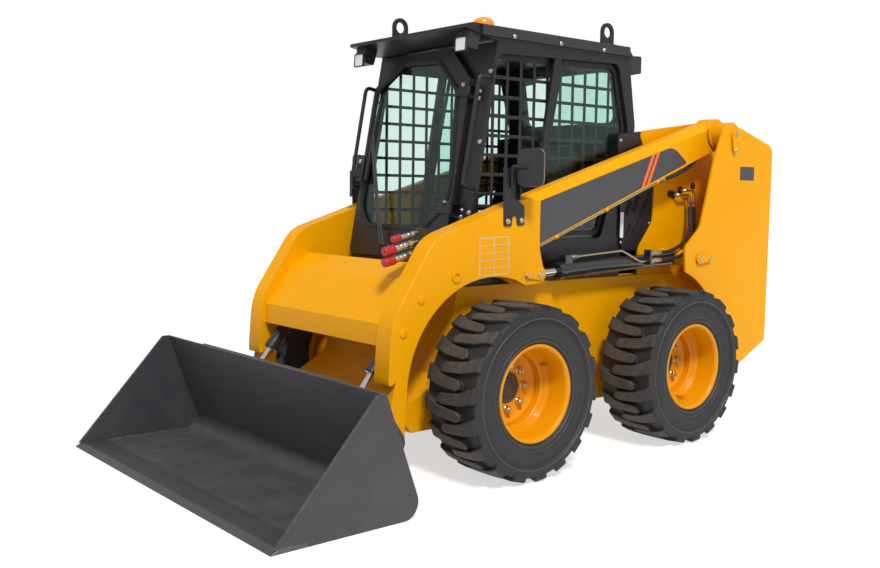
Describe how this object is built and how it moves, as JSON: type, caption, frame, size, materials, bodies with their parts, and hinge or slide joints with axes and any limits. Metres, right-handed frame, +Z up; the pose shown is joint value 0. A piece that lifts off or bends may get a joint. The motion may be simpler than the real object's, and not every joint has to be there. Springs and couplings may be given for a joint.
{
  "type": "skid steer loader",
  "caption": "Skid steer loader with a glazed cab, radial lift arms, lift and tilt cylinders, a dirt bucket and lugged tyres.",
  "frame": {"origin": "on the ground under the middle of the whole length, centred between the sides", "axes": "+X forward towards the bucket, +Y to the machine's left, +Z up"},
  "size_m": [3.478, 1.88, 2.188],
  "materials": {
    "amber_lens": "amber lens",
    "black_plastic": "grained black plastic",
    "body_paint": "gloss yellow-orange paint",
    "bucket_paint": "satin charcoal paint",
    "cab_paint": "satin black paint",
    "chrome": "polished hard chrome",
    "cylinder_paint": "gloss black paint",
    "dark_iron": "black painted casting",
    "engine_iron": "dull cast iron",
    "lamp_housing": "black lamp housing",
    "rim_paint": "gloss orange-yellow paint",
    "seat_vinyl": "black grained vinyl",
    "tinted_glass": "green-tinted safety glass",
    "tyre_rubber": "matt black rubber",
    "zinc_steel": "zinc plated steel"
  },
  "bodies": {
    "chassis": {"main_frame": "body_paint", "engine": "engine_iron", "axle_hubs": "dark_iron", "left_tower": "body_paint", "right_tower": "body_paint", "cab_frame": "cab_paint", "cab_windows": "tinted_glass", "side_screens": "cab_paint", "cab_floor": "cab_paint", "seat": "seat_vinyl", "operator_controls": "black_plastic", "lap_bar": "cab_paint", "grab_handles": "cab_paint", "work_lights": "lamp_housing", "beacon": "amber_lens", "lifting_eyes": "cab_paint"},
    "lift_arms": {"left_lift_arm": "body_paint", "right_lift_arm": "body_paint", "arm_cross_member": "body_paint", "mirrors": "cab_paint", "hydraulic_couplers": "zinc_steel"},
    "attachment": {"attachment_frame": "bucket_paint", "bucket": "bucket_paint", "cutting_edge": "bucket_paint"},
    "left_lift_cylinder": {"left_lift_barrel": "cylinder_paint"},
    "left_lift_piston": {"left_lift_rod": "chrome"},
    "left_tilt_cylinder": {"left_tilt_barrel": "cylinder_paint"},
    "left_tilt_piston": {"left_tilt_rod": "chrome"},
    "right_lift_cylinder": {"right_lift_barrel": "cylinder_paint"},
    "right_lift_piston": {"right_lift_rod": "chrome"},
    "right_tilt_cylinder": {"right_tilt_barrel": "cylinder_paint"},
    "right_tilt_piston": {"right_tilt_rod": "chrome"},
    "front_left_wheel": {"front_left_rim": "rim_paint", "front_left_tyre": "tyre_rubber"},
    "front_right_wheel": {"front_right_rim": "rim_paint", "front_right_tyre": "tyre_rubber"},
    "rear_left_wheel": {"rear_left_rim": "rim_paint", "rear_left_tyre": "tyre_rubber"},
    "rear_right_wheel": {"rear_right_rim": "rim_paint", "rear_right_tyre": "tyre_rubber"},
    "cab_door": {"cab_door": "cab_paint", "cab_door_window": "tinted_glass"},
    "rear_door": {"rear_door": "body_paint"},
    "engine_hood": {"engine_hood": "body_paint"}
  },
  "joints": [
    {"name": "lift_arm_pivot", "type": "hinge", "parent": "chassis", "child": "lift_arms", "pos_m": [-1.344, 0, 1.613], "axis": [0, -1, 0], "range_deg": [0, 59]},
    {"name": "left_lift_cylinder_base", "type": "hinge", "parent": "chassis", "child": "left_lift_cylinder", "pos_m": [-1.05569, 0.5425, 0.93224], "axis": [0, -1, 0], "range_deg": [-1, 58.27]},
    {"name": "left_lift_rod_slide", "type": "slide", "parent": "left_lift_cylinder", "child": "left_lift_piston", "axis": [0.9993, 0, -0.0375], "range_m": [-0.002, 0.7308]},
    {"name": "right_lift_cylinder_base", "type": "hinge", "parent": "chassis", "child": "right_lift_cylinder", "pos_m": [-1.05569, -0.5425, 0.93224], "axis": [0, -1, 0], "range_deg": [-1, 58.27]},
    {"name": "right_lift_rod_slide", "type": "slide", "parent": "right_lift_cylinder", "child": "right_lift_piston", "axis": [0.9993, 0, -0.0375], "range_m": [-0.002, 0.7308]},
    {"name": "bucket_tilt", "type": "hinge", "parent": "lift_arms", "child": "attachment", "pos_m": [0.93, 0, 0.205], "axis": [0, 1, 0], "range_deg": [-25, 100]},
    {"name": "left_tilt_cylinder_base", "type": "hinge", "parent": "lift_arms", "child": "left_tilt_cylinder", "pos_m": [0.59, 0.43, 0.905], "axis": [0, 1, 0], "range_deg": [-1.62, 5]},
    {"name": "left_tilt_rod_slide", "type": "slide", "parent": "left_tilt_cylinder", "child": "left_tilt_piston", "axis": [0.6279, 0, -0.7783], "range_m": [-0.0689, 0.2698]},
    {"name": "right_tilt_cylinder_base", "type": "hinge", "parent": "lift_arms", "child": "right_tilt_cylinder", "pos_m": [0.59, -0.43, 0.905], "axis": [0, 1, 0], "range_deg": [-1.62, 5]},
    {"name": "right_tilt_rod_slide", "type": "slide", "parent": "right_tilt_cylinder", "child": "right_tilt_piston", "axis": [0.6279, 0, -0.7783], "range_m": [-0.0689, 0.2698]},
    {"name": "front_left_wheel_spin", "type": "hinge", "parent": "chassis", "child": "front_left_wheel", "pos_m": [0.365, 0.742, 0.398], "axis": [0, 1, 0], "continuous": true},
    {"name": "front_right_wheel_spin", "type": "hinge", "parent": "chassis", "child": "front_right_wheel", "pos_m": [0.365, -0.742, 0.398], "axis": [0, 1, 0], "continuous": true},
    {"name": "rear_left_wheel_spin", "type": "hinge", "parent": "chassis", "child": "rear_left_wheel", "pos_m": [-0.787, 0.742, 0.398], "axis": [0, 1, 0], "continuous": true},
    {"name": "rear_right_wheel_spin", "type": "hinge", "parent": "chassis", "child": "rear_right_wheel", "pos_m": [-0.787, -0.742, 0.398], "axis": [0, 1, 0], "continuous": true},
    {"name": "cab_door_hinge", "type": "hinge", "parent": "chassis", "child": "cab_door", "pos_m": [0.36784, 0.35, 1.49262], "axis": [-0.1848, 0, 0.9828], "range_deg": [0, 95]},
    {"name": "rear_door_hinge", "type": "hinge", "parent": "chassis", "child": "rear_door", "pos_m": [-1.729, 0.445, 0.9], "axis": [0, 0, -1], "range_deg": [0, 100]},
    {"name": "engine_hood_hinge", "type": "hinge", "parent": "chassis", "child": "engine_hood", "pos_m": [-0.965, 0, 1.39], "axis": [0, 1, 0], "range_deg": [0, 50]}
  ],
  "couplings": [
    {"joint": "left_lift_cylinder_base", "follows": "lift_arm_pivot", "ratio": 0.97061},
    {"joint": "left_lift_rod_slide", "follows": "lift_arm_pivot", "m_per_rad": 0.7058},
    {"joint": "right_lift_cylinder_base", "follows": "lift_arm_pivot", "ratio": 0.97061},
    {"joint": "right_lift_rod_slide", "follows": "lift_arm_pivot", "m_per_rad": 0.7058},
    {"joint": "left_tilt_cylinder_base", "follows": "bucket_tilt", "ratio": 0.045},
    {"joint": "left_tilt_rod_slide", "follows": "bucket_tilt", "m_per_rad": 0.15343},
    {"joint": "right_tilt_cylinder_base", "follows": "bucket_tilt", "ratio": 0.045},
    {"joint": "right_tilt_rod_slide", "follows": "bucket_tilt", "m_per_rad": 0.15343}
  ]
}
